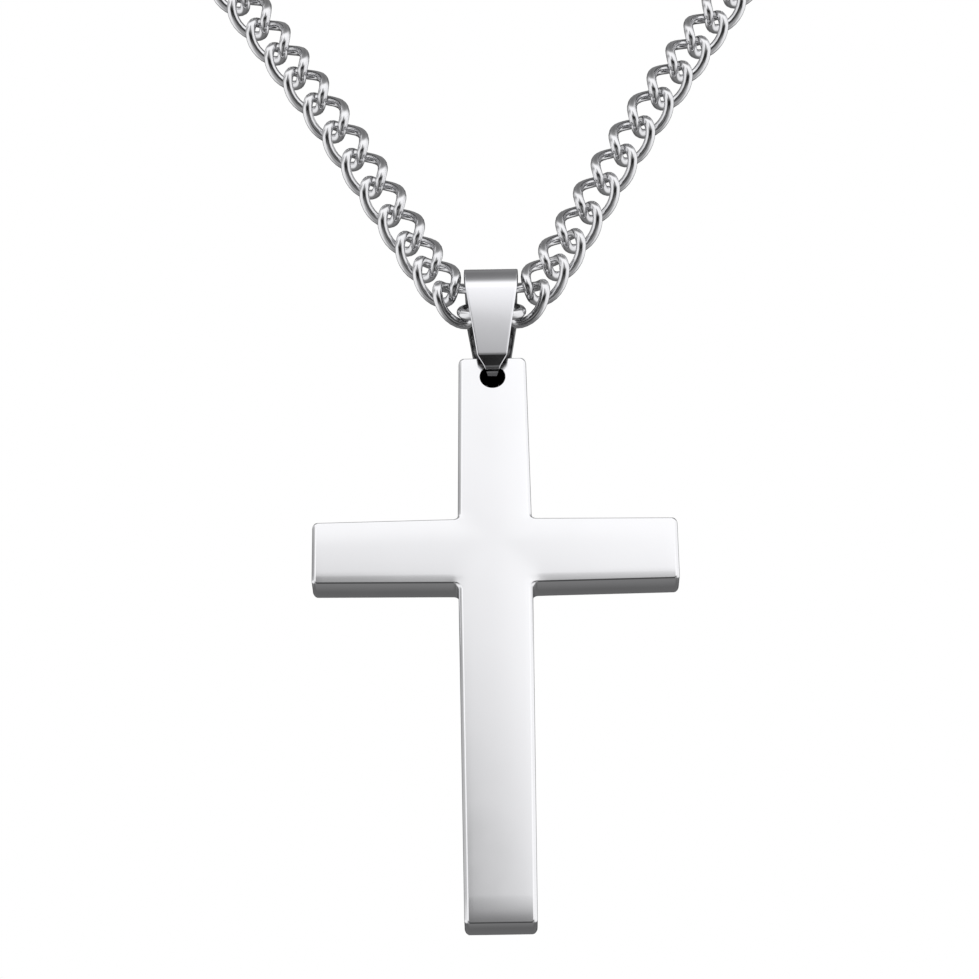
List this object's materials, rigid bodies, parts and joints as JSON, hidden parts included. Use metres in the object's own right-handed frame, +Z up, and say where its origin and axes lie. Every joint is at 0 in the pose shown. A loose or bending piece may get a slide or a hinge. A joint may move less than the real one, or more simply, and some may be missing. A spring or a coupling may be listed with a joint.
{
  "type": "cross pendant necklace",
  "caption": "Polished steel cross on a folded strap bail, hung on a twisted curb chain that closes behind the neck.",
  "frame": {"origin": "the nape of the neck, at the middle of the clasp, where the necklace rests", "axes": "+Z up, -Y to the front of the wearer, +X to the wearer's left; the cross hangs at the front, below the origin"},
  "size_m": [0.1222, 0.117, 0.198],
  "materials": {
    "cross_steel": "mirror polished stainless steel",
    "bail_steel": "polished stainless steel strap",
    "chain_steel": "polished stainless steel wire",
    "clasp_steel": "polished stainless steel"
  },
  "bodies": {
    "chain": {"chain_left": "chain_steel", "chain_right": "chain_steel", "clasp": "clasp_steel", "ring_left": "clasp_steel", "ring_right": "clasp_steel"},
    "bail": {"bail": "bail_steel"},
    "cross": {"cross": "cross_steel"}
  },
  "joints": [
    {"name": "bail_swing", "type": "hinge", "parent": "chain", "child": "bail", "pos_m": [0, -0.112, -0.13915], "axis": [1, 0, 0], "range_deg": [-45, 45]},
    {"name": "cross_swing", "type": "hinge", "parent": "bail", "child": "cross", "pos_m": [0, -0.112, -0.1469], "axis": [0, 1, 0], "range_deg": [-75, 75]}
  ]
}
